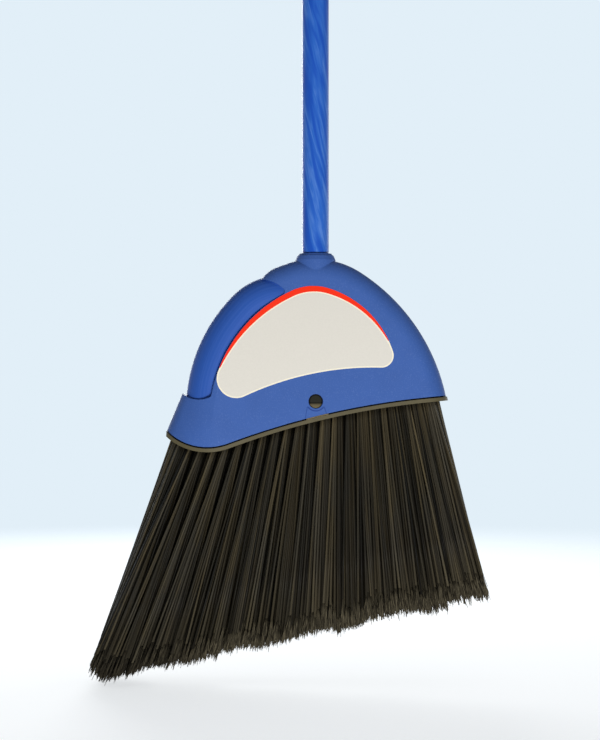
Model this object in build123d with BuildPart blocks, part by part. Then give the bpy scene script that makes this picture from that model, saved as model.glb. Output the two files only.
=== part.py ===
from build123d import *
import os
from math import ceil, cos, floor, radians, sin, sqrt, tan

os.makedirs("parts", exist_ok=True)

# An angle broom. Lengths are millimetres and angles are degrees.
# Z runs up the handle's axis, X to the right and -Y to the front, where the label is.
# The origin is on the handle's axis at the tube's lower end, just above the head's collar.

# Handle: a steel tube in a film sleeve, a screw tip below and a hanging cap on top
sleeve_radius = 11.0
film_thickness = 0.25
tube_wall = 0.7
tube_length = 1165.0
press_gap = 0.04
tip_radius = 9.4
tip_length = 32.0
tip_chamfer = 1.5
tip_plug_length = 30.0
tip_shoulder = 0.7
shoulder_inset = 0.5
hang_plug_length = 25.0
hang_base_height = 8.0
hang_base_bevel = 2.0
hang_height = 32.0
hang_loop_half_width = 9.6
hang_loop_thickness = 11.0
hang_loop_bevel = 2.0
hang_hole_radius = 4.0

# Collar and socket of the head
collar_gap = 0.1
collar_lip = 0.6
collar_top_radius = 14.9
collar_top_drop = 1.3
collar_base_radius = 16.6
collar_base_drop = 5.2
collar_root_radius = 17.3
collar_root_drop = 20.0
collar_bevel = 0.6
thread_gap = 0.1
socket_wall = 4.0
socket_floor = 3.0
socket_spare = 2.0

# Head cap: a D-shaped hollow moulding with flat faces that draft apart downwards
face_half_depth = 17.0
face_draft = 3.05
cap_wall = 2.8
edge_round = 15.0
inner_bevel = 8.0
crown_foot_x = 37.26
crown_foot_z = -16.35
shoulder_radius = 161.2
shoulder_turn = 57.1
crown_radius = 69.7
crown_turn = 52.9
brow_run = 8.0
lobe_radius = 27.0
lobe_turn = 35.0
flank_run = 105.0
hip_radius = 100.0
hip_turn = 12.5
skirt_half_depth = 25.2
skirt_nose_radius = 17.0
skirt_nose_turn = 54.0
skirt_inset = 0.6

# S-shaped lower edge of the cap: a sag at the long end and a slow rise to the short end
sag_x = -89.0
sag_z = -110.3
sag_radius = 50.0
sag_tip_slope = 45.0
rise_slope = 20.5
rise_radius = 640.0

# Grip strip: a rounded rib set into the cap's upper left side between two ledges
strip_x = 27.8
strip_z = -130.5
strip_radius = 135.4
strip_bend_at = 44.5
strip_bend_radius = 57.3
strip_bend_turn = 60.0
strip_round = 17.4
strip_seat = 1.0
strip_hollow_sides = 8
notch_x = -47.6
notch_z = -22.3
upper_ledge_radius = 30.0
upper_ledge_from = 117.0
lower_ledge_from = 171.0
lower_ledge_radius = 24.1
ledge_out_x = -116.4
ledge_out_z = -110.5
bed_corner = 3.0

# Label on the flat front
label_thickness = 0.25
label_margin = 0.5
label_right_x = -13.4
label_right_z = -107.2
label_right_radius = 80.7
label_right_turn = 72.8
label_top_radius = 42.1
label_top_turn = 42.2
label_left_radius = 115.8
label_left_turn = 85.0
label_base_x = 47.3
label_base_top = -95.3
label_base_radius = 248.6
label_corner_left = 16.0
label_corner_right = 10.0

# Bristle block: a tray that plugs into the cap, with a flange that shows below it
plug_fit = 0.3
plug_height = 22.0
plug_wall = 2.4
plug_floor = 4.0
flange_gap = 1.0
flange_thickness = 3.1
flange_overhang = 1.0
flange_end = 0.4
rest_tab_left = -7.8
rest_tab_right = 10.4
rest_end = 6.0
rest_gap = 0.1

# Latches: a barbed tongue in the front wall and one in the back wall of the block
latch_hole_radius = 5.9
latch_hole_z = -122.8
latch_clearance = 0.4
latch_width = 12.0
latch_slot_gap = 0.6
latch_thickness = 2.2
latch_top_rise = 6.2
latch_foot_radius = 1.5
latch_foot_gap = 0.1
latch_foot_floor = 0.5
latch_swing_room = 1.2
barb_setback = 1.2
barb_start_drop = 0.9
barb_face = 0.9
recess_depth = 0.4
recess_top_half = 6.9
recess_base_left = -8.4
recess_base_right = 9.8
recess_top_drop = 4.7
recess_ring = 2.2

# Bristles: rows of strands that fan out from strips under the flange to a slanted cut
row_count = 7
row_pitch = 5.5
row_gap = 0.3
root_strip_thickness = 1.9
root_strip_gap = 0.2
field_left_inset = 4.6
field_right_inset = 8.9
field_end_left = 44.0
field_end_right = 16.0
field_half_depth = 24.0
strand_radius = 1.55
strand_sides = 3
strand_pitch = 4.4
strand_root = 1.0
tip_left_x = -188.0
tip_left_z = -355.0
tip_right_x = 143.0
tip_right_z = -284.0
tip_spread = 1.75

# Derived sizes
tube_radius = sleeve_radius - film_thickness - press_gap
tube_bore = tube_radius - tube_wall
plug_radius = tube_bore - press_gap
rim_z = -tip_shoulder - collar_gap
socket_radius = tip_radius + thread_gap
socket_z = -tip_shoulder - tip_length - socket_spare
hang_z = tube_length + hang_height - hang_loop_half_width
reach = 2 * skirt_half_depth
shoulder_x = crown_foot_x - shoulder_radius * cos(radians(shoulder_turn))
shoulder_z = crown_foot_z - shoulder_radius * sin(radians(shoulder_turn))
skirt_side_radius = (skirt_half_depth - skirt_nose_radius * sin(radians(skirt_nose_turn))) / (
    1 - sin(radians(skirt_nose_turn))
)
sag_low_z = sag_z - sag_radius
form_base_z = min(sag_low_z, shoulder_z) - reach / 2
rise_x = sag_x + (sag_radius + rise_radius) * sin(radians(rise_slope))
rise_z = sag_z - (sag_radius + rise_radius) * cos(radians(rise_slope))
flange_drop = flange_gap + flange_thickness
pocket_drop = flange_drop - root_strip_thickness - root_strip_gap
front = Plane(
    origin=(0, -face_half_depth, 0),
    x_dir=(1, 0, 0),
    z_dir=(0, -cos(radians(face_draft)), sin(radians(face_draft))),
)


def half_depth(z):
    """Distance of the flat faces from the middle plane at a height."""
    return face_half_depth - z * tan(radians(face_draft))


def on_arc(centre_x, centre_z, radius, angle):
    """Point of a circle in the front view."""
    return centre_x + radius * cos(radians(angle)), centre_z + radius * sin(radians(angle))


def edge_z(x, drop):
    """Height of the cap's lower edge at x, lowered square to itself by drop."""
    if x < sag_x + (sag_radius + drop) * sin(radians(rise_slope)):
        return sag_z - sqrt((sag_radius + drop) ** 2 - (x - sag_x) ** 2)
    return rise_z + sqrt((rise_radius - drop) ** 2 - (min(x, rise_x) - rise_x) ** 2)


def below_edge(drop):
    """Region of the front view below the cap's lower edge, lowered by drop."""
    start = on_arc(sag_x, sag_z, sag_radius + drop, 270 - sag_tip_slope)
    slope = radians(sag_tip_slope)
    far_left = (start[0] - reach * cos(slope), start[1] + reach * sin(slope))
    with BuildSketch(Plane.XZ) as region:
        with BuildLine():
            lead = Line(far_left, start)
            sag = JernArc(lead @ 1, lead % 1, sag_radius + drop, sag_tip_slope + rise_slope)
            rise = JernArc(sag @ 1, sag % 1, rise_radius - drop, -rise_slope)
            far_right = (max((rise @ 1).X, shoulder_x + shoulder_radius) + reach, (rise @ 1).Y)
            base_right = (far_right[0], form_base_z - reach)
            base_left = (far_left[0], form_base_z - reach)
            Polyline(rise @ 1, far_right, base_right, base_left, far_left)
        make_face()
    return region.sketch


def head_half(inset):
    """Front half of the D-shaped body, inset all round and carried on past the middle plane.

    The outer forms have round edges, and the forms inside the cap have bevels there. The outline
    is lifted a little on the leaning face, so that it is true behind the round edge.
    """
    lift = edge_round * sin(radians(face_draft))
    face = Plane(origin=(0, -half_depth(lift), lift), x_dir=front.x_dir, z_dir=front.z_dir)
    with BuildPart() as form:
        with BuildSketch(face.offset(-inset)):
            with BuildLine():
                right_x = shoulder_x + shoulder_radius - inset
                side = Line((right_x, form_base_z), (right_x, shoulder_z))
                shoulder = JernArc(side @ 1, side % 1, shoulder_radius - inset, shoulder_turn)
                crown = JernArc(shoulder @ 1, shoulder % 1, crown_radius - inset, crown_turn)
                brow = Line(crown @ 1, crown @ 1 + (crown % 1) * brow_run)
                lobe = JernArc(brow @ 1, brow % 1, lobe_radius - inset, lobe_turn)
                flank = Line(lobe @ 1, lobe @ 1 + (lobe % 1) * flank_run)
                hip = JernArc(flank @ 1, flank % 1, hip_radius - inset, hip_turn)
                skirt_run = (form_base_z - (hip @ 1).Y) / (hip % 1).Y
                skirt = Line(hip @ 1, hip @ 1 + (hip % 1) * skirt_run)
                Line(skirt @ 1, side @ 0)
            make_face()
        extrude(amount=-reach)
        front_face = form.faces().sort_by(Axis.Y)[0]
        rims = front_face.edges().filter_by(Axis.X, reverse=True)
        if inset > 0:
            chamfer(rims, inner_bevel)
        else:
            fillet(rims, edge_round - inset)
        down = skirt % 0
        end_plane = Plane(
            origin=((skirt @ 0).X, 0, (skirt @ 0).Y), x_dir=(-down.Y, 0, down.X), z_dir=(down.X, 0, down.Y)
        )
        with BuildSketch(end_plane):
            with BuildLine():
                nose = JernArc((skirt_inset, 0), (0, 1), skirt_nose_radius - inset, -skirt_nose_turn)
                bulge = JernArc(nose @ 1, nose % 1, skirt_side_radius - inset, skirt_nose_turn - 90)
                Polyline(bulge @ 1, (2 * shoulder_radius, (bulge @ 1).Y), (2 * shoulder_radius, 0))
                mirror(about=Plane.XZ)
            make_face()
        extrude(amount=2 * shoulder_radius, both=True, mode=Mode.INTERSECT)
    return form.part


def whole(half):
    """A front half, cut at the middle plane, with its mirror image behind it."""
    with BuildPart() as form:
        add(half)
        split(bisect_by=Plane.XZ, keep=Keep.TOP)
        mirror(about=Plane.XZ)
    return form.part


def head_form(inset):
    """D-shaped body with flat drafted faces, inset all round."""
    return whole(head_half(inset))


def strip_form(inset):
    """Rounded rib along the upper left side: a section carried round two tangent arcs."""
    bend = radians(strip_bend_at)
    long_arm = strip_radius - strip_round
    short_arm = strip_bend_radius - strip_round
    bend_x = strip_x - long_arm * cos(bend)
    bend_z = strip_z + long_arm * sin(bend)
    with BuildSketch() as section:
        if inset > 0:
            RegularPolygon(strip_round - inset, strip_hollow_sides)
        else:
            Circle(strip_round)
    start = Plane(origin=(strip_x - long_arm, 0, strip_z))
    along = (sin(bend), 0, cos(bend))
    across = (cos(bend), 0, -sin(bend))
    turned = Plane(origin=(bend_x, 0, bend_z), x_dir=across, z_dir=along)
    long_axis = Axis((strip_x, 0, strip_z), (0, 1, 0))
    bend_axis = Axis((bend_x + short_arm * cos(bend), 0, bend_z - short_arm * sin(bend)), (0, 1, 0))
    with BuildPart() as form:
        with BuildSketch(start):
            add(section.sketch)
        revolve(axis=long_axis, revolution_arc=strip_bend_at)
        with BuildSketch(turned):
            add(section.sketch)
        revolve(axis=bend_axis, revolution_arc=strip_bend_turn)
    return form.part


def strip_bed(grow):
    """Region of the front view that the grip strip takes from the cap's main form."""
    bed_x = label_left_centre.X
    bed_z = label_left_centre.Y
    bed_radius = label_left_radius + label_margin
    upper_end = on_arc(bed_x, bed_z, bed_radius, upper_ledge_from)
    lower_end = on_arc(bed_x, bed_z, bed_radius, lower_ledge_from)
    with BuildSketch(Plane.XZ) as bed:
        with BuildLine():
            RadiusArc((notch_x, notch_z), upper_end, upper_ledge_radius)
            CenterArc((bed_x, bed_z), bed_radius, upper_ledge_from, lower_ledge_from - upper_ledge_from)
            RadiusArc(lower_end, (ledge_out_x, ledge_out_z), lower_ledge_radius)
            Polyline(
                (ledge_out_x, ledge_out_z),
                (ledge_out_x - reach, ledge_out_z),
                (ledge_out_x - reach, 0),
                (notch_x + notch_z, 0),
                (notch_x, notch_z),
            )
        make_face()
        for corner in (upper_end, lower_end):
            fillet(bed.vertices().sort_by_distance(corner)[0], bed_corner)
        if grow:
            offset(amount=grow)
    return bed.sketch


def slab(form, top_drop, base_drop):
    """Slice of a form between two levels measured down from the cap's lower edge."""
    with BuildPart() as piece:
        add(form)
        extrude(below_edge(top_drop), amount=reach, both=True, mode=Mode.INTERSECT)
        extrude(below_edge(base_drop), amount=reach, both=True, mode=Mode.SUBTRACT)
    return piece.part


# Label: rounded corners at both ends of its curved lower edge
with BuildSketch(front) as label_outline:
    with BuildLine():
        label_start = (label_right_x + label_right_radius, label_right_z)
        label_right = JernArc(label_start, (0, 1), label_right_radius, label_right_turn)
        label_top = JernArc(label_right @ 1, label_right % 1, label_top_radius, label_top_turn)
        label_left = JernArc(label_top @ 1, label_top % 1, label_left_radius, label_left_turn)
        label_left_centre = label_left.arc_center
        label_foot = (label_left @ 1) + (label_left % 1) * label_base_radius
        Polyline(label_left @ 1, label_foot, (label_start[0], label_foot.Y), label_start)
    make_face()
    with Locations((label_base_x, label_base_top - label_base_radius)):
        Circle(label_base_radius, mode=Mode.SUBTRACT)
    fillet(label_outline.vertices().sort_by(Axis.Y)[0], label_corner_left)
    fillet(label_outline.vertices().sort_by(Axis.X)[-1], label_corner_right)

with BuildPart() as front_label:
    extrude(label_outline.sketch, amount=label_thickness)
front_label.part.label = "front_label"
export_step(front_label.part, "parts/front_label.step")


# Handle pieces
with BuildPart() as handle_tube:
    with BuildSketch(Plane.XY):
        Circle(tube_radius)
        Circle(tube_bore, mode=Mode.SUBTRACT)
    extrude(amount=tube_length)
handle_tube.part.label = "handle_tube"
export_step(handle_tube.part, "parts/handle_tube.step")

with BuildPart() as handle_sleeve:
    with BuildSketch(Plane.XY):
        Circle(sleeve_radius)
        Circle(sleeve_radius - film_thickness, mode=Mode.SUBTRACT)
    extrude(amount=tube_length)
handle_sleeve.part.label = "handle_sleeve"
export_step(handle_sleeve.part, "parts/handle_sleeve.step")

with BuildPart() as handle_tip:
    with BuildSketch(Plane.XY.offset(-tip_shoulder)):
        Circle(tube_radius - shoulder_inset)
    extrude(amount=tip_shoulder)
    with BuildSketch(Plane.XY):
        Circle(plug_radius)
    extrude(amount=tip_plug_length)
    with BuildSketch(Plane.XY.offset(-tip_shoulder)):
        Circle(tip_radius)
    extrude(amount=-tip_length)
    chamfer(handle_tip.edges().sort_by(Axis.Z)[0], tip_chamfer)
handle_tip.part.label = "handle_tip"
export_step(handle_tip.part, "parts/handle_tip.step")

# The hanging cap is a plug with a round base and a flat loop around the hole
with BuildPart() as hang_loop:
    with BuildSketch(Plane.XZ):
        with BuildLine():
            foot = Line((-hang_loop_half_width, tube_length), (hang_loop_half_width, tube_length))
            upright = Line(foot @ 1, (hang_loop_half_width, hang_z))
            arch = JernArc(upright @ 1, upright % 1, hang_loop_half_width, 180)
            Line(arch @ 1, foot @ 0)
        make_face()
    extrude(amount=hang_loop_thickness / 2, both=True)
    loop_faces = hang_loop.faces().sort_by(Axis.Y)
    loop_rims = loop_faces[0].edges() + loop_faces[-1].edges()
    chamfer(loop_rims.filter_by(Axis.X, reverse=True), hang_loop_bevel)

with BuildPart() as hang_cap:
    with BuildSketch(Plane.XY.offset(tube_length)):
        Circle(sleeve_radius)
    extrude(amount=hang_base_height)
    chamfer(hang_cap.edges().sort_by(Axis.Z)[-1], hang_base_bevel)
    with BuildSketch(Plane.XY.offset(tube_length)):
        Circle(plug_radius)
    extrude(amount=-hang_plug_length)
    add(hang_loop.part)
    with BuildSketch(Plane.XZ):
        with Locations((0, hang_z)):
            Circle(hang_hole_radius)
    extrude(amount=sleeve_radius, both=True, mode=Mode.SUBTRACT)
hang_cap.part.label = "hang_cap"
export_step(hang_cap.part, "parts/hang_cap.step")


# Hollow of the cap: the main form and the strip, each a wall thickness in from the skin
with BuildPart() as strip_hollow:
    add(strip_form(cap_wall))
    extrude(strip_bed(cap_wall + strip_seat), amount=reach, both=True, mode=Mode.INTERSECT)

with BuildPart() as hollow:
    add(head_form(cap_wall))
    extrude(strip_bed(cap_wall), amount=reach, both=True, mode=Mode.SUBTRACT)
    add(strip_hollow.part)

with BuildPart() as grip_strip:
    add(strip_form(0))
    extrude(strip_bed(strip_seat), amount=reach, both=True, mode=Mode.INTERSECT)

# Shallow panel below each latch hole, open at the cap's lower edge
with BuildPart() as front_panel:
    with BuildSketch(front):
        with BuildLine():
            panel_top = latch_hole_z - recess_top_drop
            panel_base = edge_z(recess_base_left, flange_gap)
            Polyline(
                (-recess_top_half, panel_top),
                (recess_top_half, panel_top),
                (recess_base_right, panel_base),
                (recess_base_left, panel_base),
                close=True,
            )
        make_face()
        with Locations((0, latch_hole_z)):
            Circle(latch_hole_radius + recess_ring, mode=Mode.SUBTRACT)
    extrude(amount=-recess_depth)

with BuildPart() as head_cap:
    add(head_form(0))
    extrude(strip_bed(0), amount=reach, both=True, mode=Mode.SUBTRACT)
    extrude(below_edge(0), amount=reach, both=True, mode=Mode.SUBTRACT)
    add(grip_strip.part)
    with BuildSketch(Plane.XZ) as collar_profile:
        with BuildLine():
            Polyline(
                (0, rim_z),
                (sleeve_radius + collar_lip, rim_z),
                (collar_top_radius, rim_z - collar_top_drop),
                (collar_base_radius, rim_z - collar_base_drop),
                (collar_root_radius, rim_z - collar_root_drop),
                (0, rim_z - collar_root_drop),
                close=True,
            )
        make_face()
        chamfer(collar_profile.vertices().sort_by(Axis.X)[2:4], collar_bevel)
    revolve(axis=Axis.Z)
    add(hollow.part, mode=Mode.SUBTRACT)
    with BuildSketch(Plane.XY.offset(rim_z)):
        Circle(socket_radius + socket_wall)
    extrude(amount=socket_z - socket_floor - rim_z)
    with BuildSketch(Plane.XY.offset(rim_z)):
        Circle(socket_radius)
    extrude(amount=socket_z - rim_z, mode=Mode.SUBTRACT)
    with BuildSketch(Plane.XZ):
        with Locations((0, latch_hole_z)):
            Circle(latch_hole_radius)
    extrude(amount=reach, both=True, mode=Mode.SUBTRACT)
    add(front_panel.part, mode=Mode.SUBTRACT)
    mirror(front_panel.part, about=Plane.XZ, mode=Mode.SUBTRACT)
head_cap.part.label = "head_cap"
export_step(head_cap.part, "parts/head_cap.step")


# Latch tongue at the front: a foot bar, a flat tongue and a barb that fills the round hole.
# Its foot lies on a floor over the beds of the bristle rows, which slant across its slot.
slot_half_width = latch_width / 2 + latch_slot_gap
bed_top_z = max(edge_z(-slot_half_width, pocket_drop), edge_z(slot_half_width, pocket_drop))
latch_foot_z = bed_top_z + latch_foot_floor + latch_foot_gap + latch_foot_radius
latch_top_z = latch_hole_z + latch_top_rise
latch_face_y = half_depth(latch_top_z) - cap_wall - plug_fit
latch_foot_y = latch_face_y - latch_foot_radius
latch_back_y = latch_face_y - latch_thickness
barb_tip_y = half_depth(latch_hole_z) - barb_setback
barb_radius = latch_hole_radius - latch_clearance
barb_base_z = latch_hole_z - barb_radius
with BuildPart() as barb:
    with BuildSketch(Plane.YZ):
        with BuildLine():
            Polyline(
                (-latch_back_y, latch_hole_z - barb_start_drop),
                (-latch_face_y, latch_hole_z - barb_start_drop),
                (-barb_tip_y, barb_base_z + barb_face),
                (-barb_tip_y, barb_base_z),
                (-latch_back_y, barb_base_z),
                close=True,
            )
        make_face()
    extrude(amount=latch_width / 2, both=True)
    with BuildSketch(Plane.XZ):
        with Locations((0, latch_hole_z)):
            Circle(barb_radius)
    extrude(amount=reach, mode=Mode.INTERSECT)

with BuildPart() as front_latch:
    with BuildSketch(Plane.YZ):
        with Locations((-latch_foot_y, latch_foot_z)):
            Circle(latch_foot_radius)
        with Locations((-latch_back_y, latch_foot_z)):
            Rectangle(latch_thickness, latch_top_z - latch_foot_z, align=(Align.MAX, Align.MIN))
    extrude(amount=latch_width / 2, both=True)
    add(barb.part)
front_latch.part.label = "front_latch"
export_step(front_latch.part, "parts/front_latch.step")

with BuildPart() as rear_latch:
    mirror(front_latch.part, about=Plane.XZ)
rear_latch.part.label = "rear_latch"
export_step(rear_latch.part, "parts/rear_latch.step")

# Bristle rows, front to back: each has its own reach in X because the field has round ends
cap_left = head_cap.part.bounding_box().min.X
cap_right = shoulder_x + shoulder_radius
field_left = cap_left + field_left_inset
field_right = cap_right - field_right_inset
row_depths = [row_pitch * (index - (row_count - 1) / 2) for index in range(row_count)]


def row_span(depth):
    """Left and right ends of the bristle row at a depth."""
    fall = 1 - sqrt(1 - (depth / field_half_depth) ** 2)
    return field_left + field_end_left * fall, field_right - field_end_right * fall


def row_band(depth, top_drop, base_drop, gap):
    """Curved bar under the flange that a bristle row takes, grown by a gap."""
    left, right = row_span(depth)
    with BuildPart() as bar:
        with BuildSketch(Plane.XZ.offset(-depth)):
            with BuildLine():
                Polyline(
                    (left - gap, form_base_z),
                    (left - gap, sag_z),
                    (right + gap, sag_z),
                    (right + gap, form_base_z),
                    close=True,
                )
            make_face()
        extrude(amount=(row_pitch - row_gap) / 2 + gap, both=True)
        extrude(below_edge(top_drop), amount=reach, both=True, mode=Mode.INTERSECT)
        extrude(below_edge(base_drop), amount=reach, both=True, mode=Mode.SUBTRACT)
    return bar.part


# Block: the flange, the open tray above it, rests for the cap, latch slots and a row bed.
# The cap rests on a tab below the latches and on both ends of the flange.
rest_runs = [
    (cap_left - reach, cap_left + rest_end),
    (rest_tab_left, rest_tab_right),
    (cap_right - rest_end, cap_right + reach),
]
with BuildPart() as rests:
    add(slab(head_form(0), rest_gap, flange_gap + rest_gap))
    with BuildSketch(Plane.XZ):
        for run_left, run_right in rest_runs:
            with Locations((run_left, sag_z)):
                Rectangle(run_right - run_left, 2 * reach, align=(Align.MIN, Align.CENTER))
    extrude(amount=reach, both=True, mode=Mode.INTERSECT)

with BuildPart() as flange:
    add(slab(head_form(-flange_overhang), flange_gap, flange_drop))
    with BuildSketch(Plane.XZ):
        with Locations((cap_left - flange_end, sag_z)):
            Rectangle(reach, 2 * reach, align=(Align.MAX, Align.CENTER))
    extrude(amount=reach, both=True, mode=Mode.SUBTRACT)

with BuildPart() as bristle_block:
    add(flange.part)
    add(slab(head_form(cap_wall + plug_fit), -plug_height, flange_gap + rest_gap))
    add(rests.part)
    tray = slab(head_form(cap_wall + plug_fit + plug_wall), -plug_height - plug_wall, -plug_floor)
    add(tray, mode=Mode.SUBTRACT)
    for depth in row_depths:
        add(row_band(depth, pocket_drop, flange_drop + root_strip_gap, row_gap), mode=Mode.SUBTRACT)
    for side in (-1, 1):
        with BuildSketch(Plane.YZ):
            with Locations((side * latch_foot_y, latch_foot_z)):
                Circle(latch_foot_radius + latch_foot_gap)
            with Locations((side * (latch_back_y - latch_swing_room), latch_foot_z)):
                Rectangle(
                    latch_thickness + latch_swing_room + cap_wall,
                    plug_height,
                    align=(Align.MIN if side > 0 else Align.MAX, Align.MIN),
                )
        extrude(amount=slot_half_width, both=True, mode=Mode.SUBTRACT)
bristle_block.part.label = "bristle_block"
export_step(bristle_block.part, "parts/bristle_block.step")

# Strands stand on a grid that is staggered from row to row. Each is a slanted prism that
# runs from inside its root strip to the cut line of the tips.
tip_rise = (tip_right_z - tip_left_z) / (tip_right_x - tip_left_x)
for row_index, depth in enumerate(row_depths):
    left, right = row_span(depth)
    stagger = row_index % 2 / 2
    first = ceil((left + strand_radius) / strand_pitch - stagger)
    last = floor((right - strand_radius) / strand_pitch - stagger)
    strands = []
    for place in range(first, last + 1):
        root_x = (place + stagger) * strand_pitch
        root_z = edge_z(root_x, flange_drop) + strand_root
        share = (root_x - field_left) / (field_right - field_left)
        tip_x = tip_left_x + share * (tip_right_x - tip_left_x)
        tip_z = tip_left_z + (tip_x - tip_left_x) * tip_rise
        run = Vector(tip_x - root_x, depth * (tip_spread - 1), tip_z - root_z)
        with BuildSketch(Plane.XY.offset(root_z), mode=Mode.PRIVATE) as strand_root_face:
            with Locations((root_x, depth)):
                RegularPolygon(strand_radius, strand_sides)
        strands.append(
            extrude(strand_root_face.sketch, amount=run.length, dir=run.normalized(), mode=Mode.PRIVATE)
        )
    with BuildPart() as bristle_row:
        add(row_band(depth, flange_drop - root_strip_thickness, flange_drop, 0))
        add(strands)
    row_name = f"bristle_row_{row_index + 1}"
    bristle_row.part.label = row_name
    export_step(bristle_row.part, f"parts/{row_name}.step")
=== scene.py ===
"""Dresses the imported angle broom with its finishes, a label and tufts of flagged bristles.

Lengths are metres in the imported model's frame: Z runs up the handle, X to the right, -Y to the front.
"""

import logging
import math
from dataclasses import dataclass
from enum import Enum

import bpy
import numpy as np
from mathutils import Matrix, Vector


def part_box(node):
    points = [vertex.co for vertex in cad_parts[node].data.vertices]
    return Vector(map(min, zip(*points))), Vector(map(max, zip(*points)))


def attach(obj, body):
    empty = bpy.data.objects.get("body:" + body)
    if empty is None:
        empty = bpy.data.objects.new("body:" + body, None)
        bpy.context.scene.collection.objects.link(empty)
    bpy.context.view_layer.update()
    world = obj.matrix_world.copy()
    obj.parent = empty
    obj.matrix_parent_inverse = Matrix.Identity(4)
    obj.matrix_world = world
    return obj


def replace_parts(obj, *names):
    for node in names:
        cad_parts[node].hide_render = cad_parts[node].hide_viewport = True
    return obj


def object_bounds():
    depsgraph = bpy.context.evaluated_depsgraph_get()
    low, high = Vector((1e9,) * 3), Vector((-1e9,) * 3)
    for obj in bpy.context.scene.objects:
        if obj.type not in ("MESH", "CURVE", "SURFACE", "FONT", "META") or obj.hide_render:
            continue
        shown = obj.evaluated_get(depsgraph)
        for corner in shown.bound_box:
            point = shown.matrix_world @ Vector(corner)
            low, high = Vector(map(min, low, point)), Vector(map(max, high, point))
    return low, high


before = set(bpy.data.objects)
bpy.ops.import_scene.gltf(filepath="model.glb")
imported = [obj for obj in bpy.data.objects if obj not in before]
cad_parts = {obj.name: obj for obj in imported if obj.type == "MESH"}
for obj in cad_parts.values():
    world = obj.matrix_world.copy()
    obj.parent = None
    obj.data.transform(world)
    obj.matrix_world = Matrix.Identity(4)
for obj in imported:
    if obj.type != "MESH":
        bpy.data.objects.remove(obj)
cad_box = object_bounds()

LOG = logging.getLogger("angle_broom")

MM = 0.001
LATCH_HOLE_Z = -122.8 * MM

# Curve from a screen's values to linear light
FULL_TONE = 255.0
TOE_END = 0.04045
TOE_GAIN = 12.92
TONE_LIFT = 0.055
TONE_POWER = 2.4

# Turn from one strand of a tuft to the next that spreads them evenly
GOLDEN_TURN = math.pi * (3 - math.sqrt(5))

# Factor that keeps the level part of a vector
LEVEL = np.array([1.0, 1.0, 0.0])

Socket = bpy.types.NodeSocket
Colour = tuple[float, float, float, float]
Limits = tuple[float, float]


class Slot(Enum):
    """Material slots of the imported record."""

    TUBE = "tube_steel"
    FILM = "handle_film"
    TIP = "tip_plastic"
    HANG = "hang_plastic"
    CAP = "cap_plastic"
    LABEL = "label_print"
    BLOCK = "block_plastic"
    FIBRE = "bristle_fibre"


class Body(Enum):
    """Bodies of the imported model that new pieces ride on."""

    HANDLE = "handle"
    HEAD = "head"


@dataclass(frozen=True)
class Paint:
    """A colour as a screen shows it, each part from 0 to 255."""

    red: float
    green: float
    blue: float

    def linear(self) -> Colour:
        """The colour as opaque linear values."""
        parts = [self.unfold(part / FULL_TONE) for part in (self.red, self.green, self.blue)]
        return (*parts, 1.0)

    def shaded(self, share: float) -> "Paint":
        """The same hue with each part multiplied by a share, held to the screen's range."""
        parts = [min(FULL_TONE, part * share) for part in (self.red, self.green, self.blue)]
        return Paint(*parts)

    @staticmethod
    def unfold(part: float) -> float:
        """Carries one screen value to a linear value.

        Args:
            part: The screen value, from 0 to 1.

        Returns:
            The linear value.
        """
        if part <= TOE_END:
            return part / TOE_GAIN
        return ((part + TONE_LIFT) / (1 + TONE_LIFT)) ** TONE_POWER


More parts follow.
